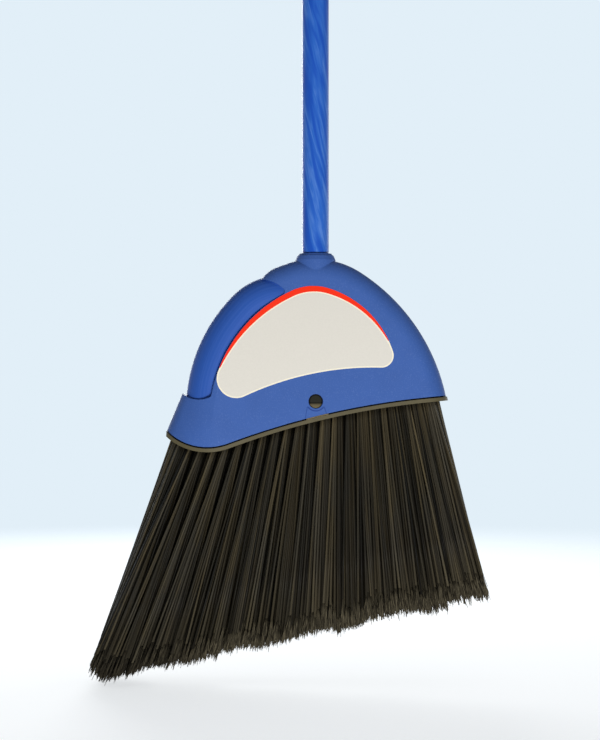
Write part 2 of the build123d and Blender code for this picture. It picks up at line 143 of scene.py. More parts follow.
class NodeGraph:
    """Node tree of a material or of the world, with short calls for the nodes that are used often."""

    def __init__(self, tree: bpy.types.NodeTree) -> None:
        """Takes the tree that the nodes go into."""
        self.nodes = tree.nodes
        self.links = tree.links

    def feed(self, socket: Socket, value: object) -> None:
        """Links a socket to another one, or sets its constant value.

        Args:
            socket: The input to fill.
            value: An output socket, or a paint, number or vector.
        """
        if isinstance(value, bpy.types.NodeSocket):
            self.links.new(value, socket)
        elif isinstance(value, Paint):
            socket.default_value = value.linear()
        else:
            socket.default_value = value

    def node(self, kind: str, **inputs: object) -> bpy.types.Node:
        """Adds a node.

        Args:
            kind: Blender's name for it, without the word that all shader nodes start with.
            inputs: What its inputs are fed, named with underscores for spaces.

        Returns:
            The node.
        """
        made = self.nodes.new(f"ShaderNode{kind}")
        for name, value in inputs.items():
            self.feed(made.inputs[name.replace("_", " ")], value)
        return made

    def place(self) -> Socket:
        """Position in the piece's own frame, which moves with the piece."""
        return self.node("TexCoord").outputs["Object"]

    def parts(self, vector: Socket) -> tuple[Socket, Socket, Socket]:
        """The X, Y and Z parts of a vector."""
        return tuple(self.node("SeparateXYZ", Vector=vector).outputs)

    def joined(self, x: object, y: object, z: object) -> Socket:
        """A vector from three values."""
        return self.node("CombineXYZ", X=x, Y=y, Z=z).outputs[0]

    def math(self, operation: str, *values: object) -> Socket:
        """Result of one arithmetic step.

        Args:
            operation: Blender's name of the step, such as ADD.
            values: One to three sockets or numbers.

        Returns:
            The result's socket.
        """
        node = self.node("Math")
        node.operation = operation
        for socket, value in zip(node.inputs, values):
            self.feed(socket, value)
        return node.outputs[0]

    def distance(self, x: object, y: object) -> Socket:
        """Length of a flat vector from its two parts."""
        squares = self.math("ADD", self.math("MULTIPLY", x, x), self.math("MULTIPLY", y, y))
        return self.math("SQRT", squares)

    def noise(self, vector: Socket, size: float, detail: float = 2.0, wander: float = 0.0) -> Socket:
        """Soft noise whose features have a given size.

        Args:
            vector: Where the noise is read.
            size: Width of a feature, in the vector's units.
            detail: Octaves of finer noise.
            wander: How much the features curl.

        Returns:
            A value about one half.
        """
        scale = 1 / size
        node = self.node("TexNoise", Vector=vector, Scale=scale, Detail=detail, Distortion=wander)
        return node.outputs[0]

    def ease(self, value: Socket, low: float, high: float) -> Socket:
        """Carries a value smoothly from 0 to 1.

        Args:
            value: The value.
            low: Where the result is 0.
            high: Where the result is 1, above or below low.

        Returns:
            The result's socket.
        """
        node = self.node("MapRange", Value=value, From_Min=low, From_Max=high)
        node.interpolation_type = "SMOOTHSTEP"
        return node.outputs[0]

    def mix(self, share: object, first: object, second: object) -> Socket:
        """A colour between two colours.

        Args:
            share: How much of the second colour there is, from 0 to 1.
            first: The first colour.
            second: The second colour.

        Returns:
            The colour's socket.
        """
        node = self.node("Mix")
        node.data_type = "RGBA"
        ends = [socket for socket in node.inputs if socket.type == "RGBA"]
        for socket, value in zip((node.inputs["Factor"], *ends), (share, first, second)):
            self.feed(socket, value)
        return next(socket for socket in node.outputs if socket.type == "RGBA")

    def blend(self, share: object, first: object, second: object) -> Socket:
        """A number between two numbers."""
        span = self.math("SUBTRACT", second, first)
        return self.math("MULTIPLY_ADD", share, span, first)

    def soft_edge(self, radius: float) -> Socket:
        """Normal that rounds a solid's sharp edges by a radius."""
        return self.node("Bevel", Radius=radius).outputs[0]

    def bump(self, height: Socket, depth: float, normal: Socket | None = None) -> Socket:
        """Normal of a surface raised by a height map.

        Args:
            height: The map, from 0 to 1.
            depth: Height that 1 stands for.
            normal: The normal of the surface under it.

        Returns:
            The new normal.
        """
        node = self.node("Bump", Height=height, Distance=depth)
        if normal is not None:
            self.feed(node.inputs["Normal"], normal)
        return node.outputs[0]

    def attribute(self, name: str) -> Socket:
        """Reads a number that the mesh holds at each point.

        Args:
            name: The number's name on the mesh.

        Returns:
            The number's socket.
        """
        node = self.node("Attribute")
        node.attribute_name = name
        return node.outputs["Fac"]

    def shown(self) -> Socket:
        """Tells what is seen from what only gives light.

        Returns:
            A value that is 1 for a ray of the camera, of a mirror or through clear matter, and else 0.
        """
        rays = self.node("LightPath").outputs
        mirrored = self.math("MAXIMUM", rays["Is Glossy Ray"], rays["Is Transmission Ray"])
        return self.math("MAXIMUM", rays["Is Camera Ray"], mirrored)


class ShaderGraph(NodeGraph):
    """Node tree of one new material."""

    def __init__(self, name: str) -> None:
        """Starts a material with its Principled shader.

        Args:
            name: The material's name.
        """
        self.material = bpy.data.materials.new(name)
        self.material.use_nodes = True
        super().__init__(self.material.node_tree)
        self.shader = self.nodes["Principled BSDF"]

    def surface(self, **values: object) -> None:
        """Fills the Principled shader's inputs, named with underscores for spaces."""
        for name, value in values.items():
            self.feed(self.shader.inputs[name.replace("_", " ")], value)


@dataclass(frozen=True)
class MouldedPlastic:
    """Moulded plastic with soft edges, a fine grain and a slight cloudiness in its colour."""

    name: str
    paint: Paint
    cloud: float = 0.05
    cloud_size: float = 9 * MM
    cloud_detail: float = 3.0
    speck: float = 0.05
    speck_gain: float = 3.0
    speck_cover: float = 4.0
    grain_size: float = 0.9 * MM
    grain_detail: float = 1.0
    grain_depth: float = 0.03 * MM
    roughness: float = 0.5
    edge: float = 0.4 * MM
    specular: float = 0.18

    def make(self) -> bpy.types.Material:
        """Makes the material.

        Returns:
            The material.
        """
        graph = ShaderGraph(self.name)
        place = graph.place()
        grain = graph.noise(place, self.grain_size, self.grain_detail)
        graph.surface(
            Base_Color=self.tinted(graph, place, self.cloudy(graph, place, grain)),
            Roughness=self.roughness,
            Specular_IOR_Level=self.specular,
            Normal=graph.bump(grain, self.grain_depth, graph.soft_edge(self.edge)),
        )
        return graph.material

    def cloudy(self, graph: ShaderGraph, place: Socket, grain: Socket) -> Socket:
        """The paint with its clouds and the pale specks of its grain.

        Args:
            graph: The node tree.
            place: Position in the piece's frame.
            grain: The grain's height map.

        Returns:
            The colour's socket.
        """
        clouds = graph.noise(place, self.cloud_size, self.cloud_detail)
        dark = self.paint.shaded(1 - self.cloud)
        light = self.paint.shaded(1 + self.cloud)
        pale = self.paint.shaded(1 + self.speck_gain * self.speck)
        specks = graph.math("MULTIPLY", grain, self.speck_cover * self.speck)
        return graph.mix(specks, graph.mix(clouds, dark, light), pale)

    def tinted(self, graph: ShaderGraph, place: Socket, colour: Socket) -> Socket:
        """The final colour, which plain mouldings leave as it is."""
        return colour


@dataclass(frozen=True)
class LatchPlastic(MouldedPlastic):
    """Latch plastic with painted shade on the recessed tongue, darkest beside the hole, and its paler
    paint on the barb that stands out.
    """

    edge: float = 0.3 * MM
    specular: float = 0.05
    # Painted shade on the recessed tongue, and a darker painted shadow beside the hole
    shadow: Paint = Paint(38, 38, 31)
    gap: Paint = Paint(8, 8, 10)
    tongue_depth: float = 20.3 * MM
    barb_depth: float = 21.6 * MM
    hole_z: float = LATCH_HOLE_Z
    # Where the painted shadow beside the hole starts and is full
    hole_shadow_start: float = 4.1 * MM
    hole_shadow_full: float = 5.3 * MM

    def tinted(self, graph: ShaderGraph, place: Socket, colour: Socket) -> Socket:
        """Paints shade on the tongue, which lies nearer to the middle plane than the barb, darkest beside
        the hole.

        Args:
            graph: The node tree.
            place: Position in the piece's frame.
            colour: The barb's colour.

        Returns:
            The colour's socket.
        """
        x, y, z = graph.parts(place)
        off_hole = graph.distance(x, graph.math("SUBTRACT", z, self.hole_z))
        beside = graph.ease(off_hole, self.hole_shadow_start, self.hole_shadow_full)
        tongue = graph.mix(beside, self.shadow, self.gap)
        depth = graph.math("ABSOLUTE", y)
        return graph.mix(graph.ease(depth, self.tongue_depth, self.barb_depth), tongue, colour)


@dataclass(frozen=True)
class LowerEdge:
    """The cap's S-shaped lower edge in the front view: a sag and a slow rise, two tangent arcs."""

    sag_x: float = -89.0 * MM
    sag_z: float = -110.3 * MM
    sag_radius: float = 50.0 * MM
    slope: float = math.radians(20.5)
    rise_radius: float = 640.0 * MM

    def rise_centre(self) -> tuple[float, float]:
        """Centre of the second arc."""
        reach = self.sag_radius + self.rise_radius
        return self.sag_x + reach * math.sin(self.slope), self.sag_z - reach * math.cos(self.slope)

    def height(self, x: np.ndarray, drop: float) -> np.ndarray:
        """Height of the edge, lowered square to itself.

        Args:
            x: Places along the edge.
            drop: How far the line is lowered.

        Returns:
            One height for each place.
        """
        rise_x, rise_z = self.rise_centre()
        sag = self.sag_radius + drop
        low = self.sag_z - np.sqrt(np.maximum(sag**2 - (x - self.sag_x) ** 2, 0))
        high = rise_z + np.sqrt(np.maximum((self.rise_radius - drop) ** 2 - (x - rise_x) ** 2, 0))
        return np.where(x < self.sag_x + sag * math.sin(self.slope), low, high)

    def drop_map(self, graph: ShaderGraph, x: Socket, z: Socket) -> Socket:
        """Distance below the edge in a shader.

        Args:
            graph: The node tree.
            x: Position along X.
            z: Position along Z.

        Returns:
            The distance's socket.
        """
        rise_x, rise_z = self.rise_centre()
        sag = graph.distance(graph.math("SUBTRACT", x, self.sag_x), graph.math("SUBTRACT", z, self.sag_z))
        rise = graph.distance(graph.math("SUBTRACT", x, rise_x), graph.math("SUBTRACT", z, rise_z))
        meet_x = self.sag_x + self.sag_radius * math.sin(self.slope)
        rising = graph.math("GREATER_THAN", x, meet_x)
        below_sag = graph.math("SUBTRACT", sag, self.sag_radius)
        below_rise = graph.math("SUBTRACT", self.rise_radius, rise)
        return graph.blend(rising, below_sag, below_rise)


@dataclass(frozen=True)
class BlockPlastic(MouldedPlastic):
    """Block plastic with a painted shadow line between the cap and the flange, and a rest tab painted
    paler as painted light.
    """

    cloud: float = 0.12
    speck: float = 0.08
    # Painted shadow in the gap under the cap, and a paler paint on the tab as painted light
    shadow: Paint = Paint(20, 18, 20)
    tab: Paint = Paint(140, 126, 98)
    gap: float = 1.05 * MM
    gap_soft: float = 0.25 * MM
    tab_left: float = -7.9 * MM
    tab_right: float = 10.5 * MM
    lower_edge: LowerEdge = LowerEdge()

    def tinted(self, graph: ShaderGraph, place: Socket, colour: Socket) -> Socket:
        """Paints shadow on what lies in the gap under the cap, apart from the tab, which gets a paler
        paint as painted light.

        Args:
            graph: The node tree.
            place: Position in the piece's frame.
            colour: The flange's colour.

        Returns:
            The colour's socket.
        """
        x, _, z = graph.parts(place)
        drop = self.lower_edge.drop_map(graph, x, z)
        in_gap = graph.ease(drop, self.gap + self.gap_soft, self.gap)
        left_of_tab = graph.math("LESS_THAN", x, self.tab_left)
        right_of_tab = graph.math("GREATER_THAN", x, self.tab_right)
        beside_tab = graph.math("MAXIMUM", left_of_tab, right_of_tab)
        gap_light_and_shade = graph.mix(beside_tab, self.tab, self.shadow)
        return graph.mix(in_gap, colour, gap_light_and_shade)


@dataclass(frozen=True)
class GripStrip:
    """Run of the smooth rounded rib on the cap: a tube along two tangent arcs in the front view."""

    long_x: float = 27.8 * MM
    long_z: float = -130.5 * MM
    long_arm: float = 118.0 * MM
    bend_at: float = math.radians(44.5)
    short_arm: float = 39.9 * MM
    section: float = 17.4 * MM
    skin_near: float = 0.225 * MM
    skin_far: float = 0.45 * MM

    def short_centre(self) -> tuple[float, float]:
        """Centre of the second arc, which starts where the first one ends."""
        step = self.long_arm - self.short_arm
        return self.long_x - step * math.cos(self.bend_at), self.long_z + step * math.sin(self.bend_at)


@dataclass(frozen=True)
class LatchPanel:
    """Step round the shallow panel below each latch hole, where shade is painted: an arc and two sides."""

    hole_z: float = LATCH_HOLE_Z
    arc: float = 7.8 * MM
    arc_width: float = 1.0 * MM
    top_drop: float = 4.4 * MM
    half_width: float = 6.9 * MM
    flare: float = 0.275
    lean: float = 0.0875
    side_width: float = 0.6 * MM
    side_share: float = 0.6
    soft: float = 0.5 * MM

    def step_shade_map(self, graph: ShaderGraph, x: Socket, z: Socket) -> Socket:
        """Mask of the painted shade on the step.

        Args:
            graph: The node tree.
            x: Position along X.
            z: Position along Z.

        Returns:
            A value that is 1 on the step.
        """
        off_hole = graph.distance(x, graph.math("SUBTRACT", z, self.hole_z))
        off_arc = graph.math("ABSOLUTE", graph.math("SUBTRACT", off_hole, self.arc))
        on_arc = graph.ease(off_arc, self.arc_width, 0.0)
        drop = graph.math("SUBTRACT", self.hole_z - self.top_drop, z)
        middle = graph.math("MULTIPLY", drop, self.lean)
        half_width = graph.math("MULTIPLY_ADD", drop, self.flare, self.half_width)
        off_middle = graph.math("ABSOLUTE", graph.math("SUBTRACT", x, middle))
        off_side = graph.math("ABSOLUTE", graph.math("SUBTRACT", off_middle, half_width))
        on_side = graph.math("MULTIPLY", graph.ease(off_side, self.side_width, 0.0), self.side_share)
        below = graph.ease(drop, -self.soft, self.soft)
        return graph.math("MULTIPLY", below, graph.math("MAXIMUM", on_arc, on_side))


@dataclass(frozen=True)
class CapPlastic:
    """Spark-textured satin plastic of the cap, with the grip strip left smooth and deeper in colour."""

    name: str = "cap_satin_plastic"
    # The face and its pale specks are paler than the strip: partly the grained plastic's own look, partly
    # a painted sheen
    face: Paint = Paint(64, 98, 168)
    face_cloud: float = 0.035
    cloud_size: float = 16 * MM
    cloud_detail: float = 3.0
    speck: Paint = Paint(90, 120, 184)
    speck_limits: Limits = (0.5, 0.85)
    speck_share: float = 0.6
    # Painted shade along the step round each latch panel
    step_shade: Paint = Paint(38, 68, 140)
    grain_size: float = 0.95 * MM
    grain_detail: float = 1.5
    grain_depth: float = 0.05 * MM
    roughness: float = 0.52
    strip: Paint = Paint(46, 88, 172)
    strip_streak: Paint = Paint(54, 94, 177)
    strip_roughness: float = 0.55
    streak_size: float = 1.5 * MM
    streak_length: float = 60.0
    streak_limits: Limits = (0.35, 0.7)
    specular: float = 0.1
    edge: float = 1.0 * MM
    rib: GripStrip = GripStrip()
    panel: LatchPanel = LatchPanel()

    def make(self) -> bpy.types.Material:
        """Makes the material.

        Returns:
            The material.
        """
        graph = ShaderGraph(self.name)
        place = graph.place()
        x, y, z = graph.parts(place)
        on_strip, across, along = self.strip_map(graph, x, y, z)
        grain = graph.noise(place, self.grain_size, self.grain_detail)
        clouds = graph.noise(place, self.cloud_size, self.cloud_detail)
        dark = self.face.shaded(1 - self.face_cloud)
        light = self.face.shaded(1 + self.face_cloud)
        specks = graph.math("MULTIPLY", graph.ease(grain, *self.speck_limits), self.speck_share)
        unshaded_face = graph.mix(specks, graph.mix(clouds, dark, light), self.speck)
        face = graph.mix(self.panel.step_shade_map(graph, x, z), unshaded_face, self.step_shade)
        lines = graph.noise(graph.joined(across, along, 0.0), self.streak_size)
        streaks = graph.ease(lines, *self.streak_limits)
        strip = graph.mix(streaks, self.strip, self.strip_streak)
        texture = graph.math("MULTIPLY", grain, graph.math("SUBTRACT", 1.0, on_strip))
        graph.surface(
            Base_Color=graph.mix(on_strip, face, strip),
            Roughness=graph.blend(on_strip, self.roughness, self.strip_roughness),
            Specular_IOR_Level=self.specular,
            Normal=graph.bump(texture, self.grain_depth, graph.soft_edge(self.edge)),
        )
        return graph.material

    def strip_map(
        self, graph: ShaderGraph, x: Socket, y: Socket, z: Socket
    ) -> tuple[Socket, Socket, Socket]:
        """Finds the grip strip from its distance to the strip's middle line.

        Args:
            graph: The node tree.
            x: Position along X.
            y: Position along Y.
            z: Position along Z.

        Returns:
            A mask that is 1 on the strip, the place across the strip, and the place along it.
        """
        rib = self.rib
        short_x, short_z = rib.short_centre()
        long_u = graph.math("SUBTRACT", x, rib.long_x)
        long_w = graph.math("SUBTRACT", z, rib.long_z)
        short_u = graph.math("SUBTRACT", x, short_x)
        short_w = graph.math("SUBTRACT", z, short_z)
        turned = graph.math("MULTIPLY", long_u, math.sin(rib.bend_at))
        past_bend = graph.math("MULTIPLY_ADD", long_w, math.cos(rib.bend_at), turned)
        bent = graph.math("GREATER_THAN", past_bend, 0.0)
        long_off = graph.math("SUBTRACT", graph.distance(long_u, long_w), rib.long_arm)
        short_off = graph.math("SUBTRACT", graph.distance(short_u, short_w), rib.short_arm)
        across = graph.blend(bent, long_off, short_off)
        off_skin = graph.math("SUBTRACT", graph.distance(across, y), rib.section)
        near = graph.ease(graph.math("ABSOLUTE", off_skin), rib.skin_far, rib.skin_near)
        turn = graph.math("ARCTAN2", long_w, long_u)
        return near, across, graph.math("MULTIPLY", turn, rib.long_arm / self.streak_length)


@dataclass(frozen=True)
class FilmWrap:
    """Printed film on the tube: steep feathered streaks that wind round it."""

    name: str = "handle_marbled_film"
    deep: Paint = Paint(26, 83, 188)
    middle: Paint = Paint(43, 103, 199)
    light: Paint = Paint(82, 130, 213)
    wind: float = 22.0
    stretch: float = 0.12
    streak_size: float = 5.5 * MM
    streak_wander: float = 0.6
    feathers_per_streak: float = 3.0
    feather_detail: float = 3.0
    feather_wander: float = 0.4
    middle_limits: Limits = (0.36, 0.56)
    light_limits: Limits = (0.46, 0.68)
    feather_limits: Limits = (0.35, 0.62)
    relief: float = 0.02 * MM
    roughness: float = 0.34
    specular: float = 0.2

    def make(self) -> bpy.types.Material:
        """Makes the material.

        Returns:
            The material.
        """
        graph = ShaderGraph(self.name)
        place = graph.place()
        _, _, z = graph.parts(place)
        turn = graph.node("VectorRotate", Vector=place, Angle=graph.math("MULTIPLY", z, self.wind))
        turn.rotation_type = "Z_AXIS"
        wound_x, wound_y, wound_z = graph.parts(turn.outputs[0])
        wound = graph.joined(wound_x, wound_y, graph.math("MULTIPLY", wound_z, self.stretch))
        broad = graph.noise(wound, self.streak_size, wander=self.streak_wander)
        feather_size = self.streak_size / self.feathers_per_streak
        fine = graph.noise(wound, feather_size, self.feather_detail, self.feather_wander)
        base = graph.mix(graph.ease(broad, *self.middle_limits), self.deep, self.middle)
        feathers = graph.ease(fine, *self.feather_limits)
        veil = graph.math("MULTIPLY", graph.ease(broad, *self.light_limits), feathers)
        graph.surface(
            Base_Color=graph.mix(veil, base, self.light),
            Roughness=self.roughness,
            Specular_IOR_Level=self.specular,
            Normal=graph.bump(fine, self.relief),
        )
        return graph.material


@dataclass(frozen=True)
class TubeSteel:
    """Bare drawn steel inside the film."""

    name: str = "tube_drawn_steel"
    paint: Paint = Paint(168, 170, 172)
    dark_share: float = 0.85
    line_size: float = 0.6 * MM
    stretch: float = 0.02
    least_roughness: float = 0.3
    most_roughness: float = 0.45

    def make(self) -> bpy.types.Material:
        """Makes the material.

        Returns:
            The material.
        """
        graph = ShaderGraph(self.name)
        x, y, z = graph.parts(graph.place())
        lines = graph.noise(graph.joined(x, y, graph.math("MULTIPLY", z, self.stretch)), self.line_size)
        graph.surface(
            Base_Color=graph.mix(lines, self.paint.shaded(self.dark_share), self.paint),
            Metallic=1.0,
            Roughness=graph.blend(lines, self.least_roughness, self.most_roughness),
        )
        return graph.material


@dataclass(frozen=True)
class LabelPrint:
    """Coated paper in one printed colour, with a slight waviness where it is stuck down."""

    name: str
    paint: Paint
    wave_size: float = 22 * MM
    wave_depth: float = 0.12 * MM
    fibre_size: float = 1.4 * MM
    fibre_detail: float = 3.0
    fibre_dark: float = 0.975
    fibre_pale: float = 1.01
    least_roughness: float = 0.38
    most_roughness: float = 0.46
    specular: float = 0.15

    def make(self) -> bpy.types.Material:
        """Makes the material.

        Returns:
            The material.
        """
        graph = ShaderGraph(self.name)
        place = graph.place()
        waves = graph.noise(place, self.wave_size)
        fibres = graph.noise(place, self.fibre_size, self.fibre_detail)
        dark = self.paint.shaded(self.fibre_dark)
        pale = self.paint.shaded(self.fibre_pale)
        graph.surface(
            Base_Color=graph.mix(fibres, dark, pale),
            Roughness=graph.blend(fibres, self.least_roughness, self.most_roughness),
            Specular_IOR_Level=self.specular,
            Normal=graph.bump(waves, self.wave_depth),
        )
        return graph.material


@dataclass(frozen=True)
class BristleFibre:
    """Dark filament plastic that differs from strand to strand and pales where the tips are split."""

    name: str = "bristle_dark_fibre"
    deep: Paint = Paint(13, 12, 9)
    grey: Paint = Paint(78, 73, 61)
    brown: Paint = Paint(85, 76, 56)
    flag_deep: Paint = Paint(20, 18, 14)
    flag_pale: Paint = Paint(112, 104, 84)
    hue_size: float = 9 * MM
    hue_stretch: float = 0.1
    hue_limits: Limits = (0.4, 0.6)
    roughness: float = 0.4
    flag_roughness: float = 0.75
    specular: float = 0.07

    def make(self) -> bpy.types.Material:
        """Makes the material.

        Returns:
            The material.
        """
        graph = ShaderGraph(self.name)
        x, y, z = graph.parts(graph.place())
        hue = graph.noise(graph.joined(x, y, graph.math("MULTIPLY", z, self.hue_stretch)), self.hue_size)
        # The shade attribute holds each strand's tone with its painted shade and light
        shade = graph.attribute(TuftMesh.SHADE)
        split = graph.attribute(TuftMesh.SPLIT)
        pale = graph.mix(graph.ease(hue, *self.hue_limits), self.grey, self.brown)
        strand = graph.mix(shade, self.deep, pale)
        flag = graph.mix(shade, self.flag_deep, self.flag_pale)
        graph.surface(
            Base_Color=graph.mix(split, strand, flag),
            Roughness=graph.blend(split, self.roughness, self.flag_roughness),
            Specular_IOR_Level=self.specular,
        )
        return graph.material


def circle(sides: int) -> np.ndarray:
    """Points of a level circle of radius 1, as sides by 3."""
    turn = np.arange(sides) * 2 * math.pi / sides
    return np.stack([np.cos(turn), np.sin(turn), np.zeros(sides)], axis=1)


def tube_walls(rings: int, sides: int) -> np.ndarray:
    """Wall faces of a tube whose rings run downwards.

    Args:
        rings: Rings of points along the tube.
        sides: Points in each ring.

    Returns:
        Four point numbers for each face.
    """
    row, side = np.meshgrid(np.arange(rings - 1), np.arange(sides), indexing="ij")
    near = row * sides + side
    beside = row * sides + (side + 1) % sides
    return np.stack([near, near + sides, beside + sides, beside], axis=-1).reshape(-1, 4)


def tube_ends(rings: int, sides: int) -> np.ndarray:
    """Faces that close the first and the last ring of such a tube, as point numbers."""
    first = np.arange(sides)
    return np.stack([first, first[::-1] + (rings - 1) * sides])


def new_mesh(
    name: str, points: np.ndarray, faces: list[list[int]], smooth: bool = False
) -> bpy.types.Mesh:
    """Makes a mesh.

    Args:
        name: The mesh's name.
        points: Its points, as points by 3.
        faces: Point numbers of each face.
        smooth: Whether the faces are shaded as one rounded skin.

    Returns:
        The mesh.
    """
    mesh = bpy.data.meshes.new(name)
    mesh.from_pydata(points.tolist(), [], faces)
    mesh.polygons.foreach_set("use_smooth", np.full(len(mesh.polygons), smooth))
    return mesh


def add_object(name: str, data: bpy.types.ID) -> bpy.types.Object:
    """Adds a mesh, lamp or camera to the scene.

    Args:
        name: The object's name.
        data: What it shows.

    Returns:
        The new object.
    """
    made = bpy.data.objects.new(name, data)
    bpy.context.scene.collection.objects.link(made)
    return made


def new_piece(name: str, mesh: bpy.types.Mesh, body: Body) -> bpy.types.Object:
    """Adds a mesh to the scene as a piece that rides on a body.

    Args:
        name: The piece's name.
        mesh: Its mesh, already in place.
        body: The body that carries it.

    Returns:
        The new object.
    """
    piece = add_object(name, mesh)
    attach(piece, body.value)
    LOG.info("piece %s: %d faces on %s", name, len(mesh.polygons), body.value)
    return piece


def finish_node(node: str, material: bpy.types.Material) -> None:
    """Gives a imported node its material.

    Args:
        node: The node's name.
        material: Its finish.
    """
    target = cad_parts[node]
    target.material_slots[0].material = material
    LOG.info("node %s: %s", node, material.name)


@dataclass
class Handle:
    """The handle: packed tube, film and hanging cap, and a screw tip with its coarse thread."""

    hang_paint: Paint = Paint(46, 82, 160)
    tip_paint: Paint = Paint(40, 72, 148)
    plug_radius: float = 9.97 * MM
    shoulder_radius: float = 10.21 * MM
    shoulder_drop: float = 0.7 * MM
    screw_radius: float = 9.4 * MM
    screw_chamfer: float = 1.5 * MM
    thread_pitch: float = 5.08 * MM
    thread_depth: float = 1.4 * MM
    thread_neck: float = 2.0 * MM
    thread_fade: float = 2.5 * MM
    crest_half: float = 0.17
    flank: float = 0.14
    ring_step: float = 0.35 * MM
    sides: int = 72
    crease: float = math.radians(35)

    def dress(self) -> None:
        """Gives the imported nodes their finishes."""
        finish_node("handle_tube", TubeSteel().make())
        finish_node("handle_sleeve", FilmWrap().make())
        finish_node("hang_cap", MouldedPlastic("hang_plastic_blue", self.hang_paint).make())

    def build(self) -> None:
        """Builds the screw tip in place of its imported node: plug, shoulder and thread from the top."""
        low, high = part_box("handle_tip")
        plain_z = np.array([high.z, 0.0, 0.0, -self.shoulder_drop])
        plain_radii = np.repeat([self.plug_radius, self.shoulder_radius], 2)
        screw_z = np.append(np.arange(-self.shoulder_drop, low.z, -self.ring_step), low.z)
        plain = np.repeat(plain_radii[:, None], self.sides, axis=1)
        radii = np.concatenate([plain, self.screw(screw_z, low.z)])
        points = radii[:, :, None] * circle(self.sides)
        points[:, :, 2] = np.concatenate([plain_z, screw_z])[:, None]
        faces = tube_walls(len(radii), self.sides).tolist() + tube_ends(len(radii), self.sides).tolist()
        mesh = new_mesh("screw_tip", points.reshape(-1, 3), faces, smooth=True)
        mesh.set_sharp_from_angle(angle=self.crease)
        mesh.materials.append(MouldedPlastic("tip_plastic_blue", self.tip_paint).make())
        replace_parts(new_piece("screw_tip", mesh, Body.HANDLE), "handle_tip")

    def screw(self, z: np.ndarray, end: float) -> np.ndarray:
        """Radius of the right-handed thread, which fades out at its neck and is chamfered at its end.

        Args:
            z: Heights of the rings.
            end: Height of the screw's end.

        Returns:
            The radii, as rings by sides.
        """
        phase = (z[:, None] / self.thread_pitch - np.arange(self.sides) / self.sides) % 1
        valley = np.clip((np.abs(phase - 0.5) - self.crest_half) / self.flank, 0, 1)
        below = -self.shoulder_drop - self.thread_neck - z
        depth = self.thread_depth * np.clip(below / self.thread_fade, 0, 1)
        limit = self.screw_radius - np.maximum(self.screw_chamfer - (z - end), 0)
        return np.minimum(limit[:, None], self.screw_radius - depth[:, None] * valley)


@dataclass
class CapLabel:
    """The label: a cream sheet with a red crescent on its upper edge and a grey field."""

    stripe_right: tuple[float, float] = (61.3 * MM, -77.7 * MM)
    stripe_left: tuple[float, float] = (-80.6 * MM, -98.8 * MM)
    stripe_width: float = 4.7 * MM
    stripe_taper: float = 0.75
    border: float = 1.1 * MM
    print_film: float = 0.05 * MM
    face_slack: float = 0.02 * MM
    weld_digits: int = 7
    cream: Paint = Paint(250, 242, 218)
    grey: Paint = Paint(226, 222, 212)
    red: Paint = Paint(255, 50, 16)

    def build(self) -> None:
        """Builds the sheet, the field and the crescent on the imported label's own face."""
        outline, outward, depth = self.packed_face()
        inward = self.inward_normals(outline, outward)
        widths = self.stripe_widths(outline)
        sheet = self.plate("label_sheet", outline - outward * depth, outward * depth, self.cream)
        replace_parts(sheet, "front_label")
        film = outward * self.print_film
        self.plate("label_field", outline + inward * (widths + self.border)[:, None], film, self.grey)
        striped = widths > self.print_film
        inner = outline + inward * widths[:, None]
        crescent = np.concatenate([outline[striped], inner[striped][::-1]])
        self.plate("label_crescent", crescent, film, self.red)

    def packed_face(self) -> tuple[np.ndarray, np.ndarray, float]:
        """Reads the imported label's front face.

        Returns:
            The edge's points in order from the crescent's right end, the face's outward normal, and the
            label's thickness.
        """
        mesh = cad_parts["front_label"].data
        points = np.array([vertex.co for vertex in mesh.vertices], float)
        front = min(mesh.polygons, key=lambda face: face.normal.y)
        outward = np.array(front.normal, float)
        level = points @ outward
        near_face = points[level > level.max() - self.face_slack]
        rim = np.unique(np.round(near_face, self.weld_digits), axis=0)
        centre = rim.mean(axis=0)
        angles = np.arctan2(rim[:, 2] - centre[2], rim[:, 0] - centre[0])
        edge = rim[np.argsort(angles)]
        start = self.nearest(edge, self.stripe_right)
        return np.roll(edge, -start, axis=0), outward, float(level.max() - level.min())

    def nearest(self, outline: np.ndarray, place: tuple[float, float]) -> int:
        """Number of the outline's point that is nearest to a place in the front view."""
        return int(np.argmin(np.linalg.norm(outline[:, [0, 2]] - np.array(place), axis=1)))

    def inward_normals(self, outline: np.ndarray, outward: np.ndarray) -> np.ndarray:
        """Directions in the face that point away from its edge.

        Args:
            outline: The edge's points in order.
            outward: The face's outward normal.

        Returns:
            One direction of length 1 for each point.
        """
        run = np.roll(outline, -1, axis=0) - np.roll(outline, 1, axis=0)
        inward = np.cross(outward, run)
        return inward / np.linalg.norm(inward, axis=1)[:, None]

    def stripe_widths(self, outline: np.ndarray) -> np.ndarray:
        """Width of the crescent at each point of the edge, which swells from both of its ends.

        Args:
            outline: The edge's points in order.

        Returns:
            One width for each point, 0 outside the crescent.
        """
        steps = np.linalg.norm(np.diff(outline, axis=0), axis=1)
        run = np.concatenate([[0.0], np.cumsum(steps)])
        share = np.clip(run / run[self.nearest(outline, self.stripe_left)], 0, 1)
        return self.stripe_width * np.sin(math.pi * share) ** self.stripe_taper

    def plate(self, name: str, outline: np.ndarray, rise: np.ndarray, paint: Paint) -> bpy.types.Object:
        """Makes a thin printed plate from its lower outline.

        Args:
            name: The piece's name.
            outline: Points of the lower face in order.
            rise: Vector from the lower face to the upper one.
            paint: The printed colour.

        Returns:
            The piece.
        """
        count = len(outline)
        lower = list(range(count - 1, -1, -1))
        upper = list(range(count, 2 * count))
        sides = [[i, (i + 1) % count, count + (i + 1) % count, count + i] for i in range(count)]
        mesh = new_mesh(name, np.concatenate([outline, outline + rise]), [lower, upper, *sides])
        mesh.materials.append(LabelPrint(f"{name}_print", paint).make())
        return new_piece(name, mesh, Body.HEAD)


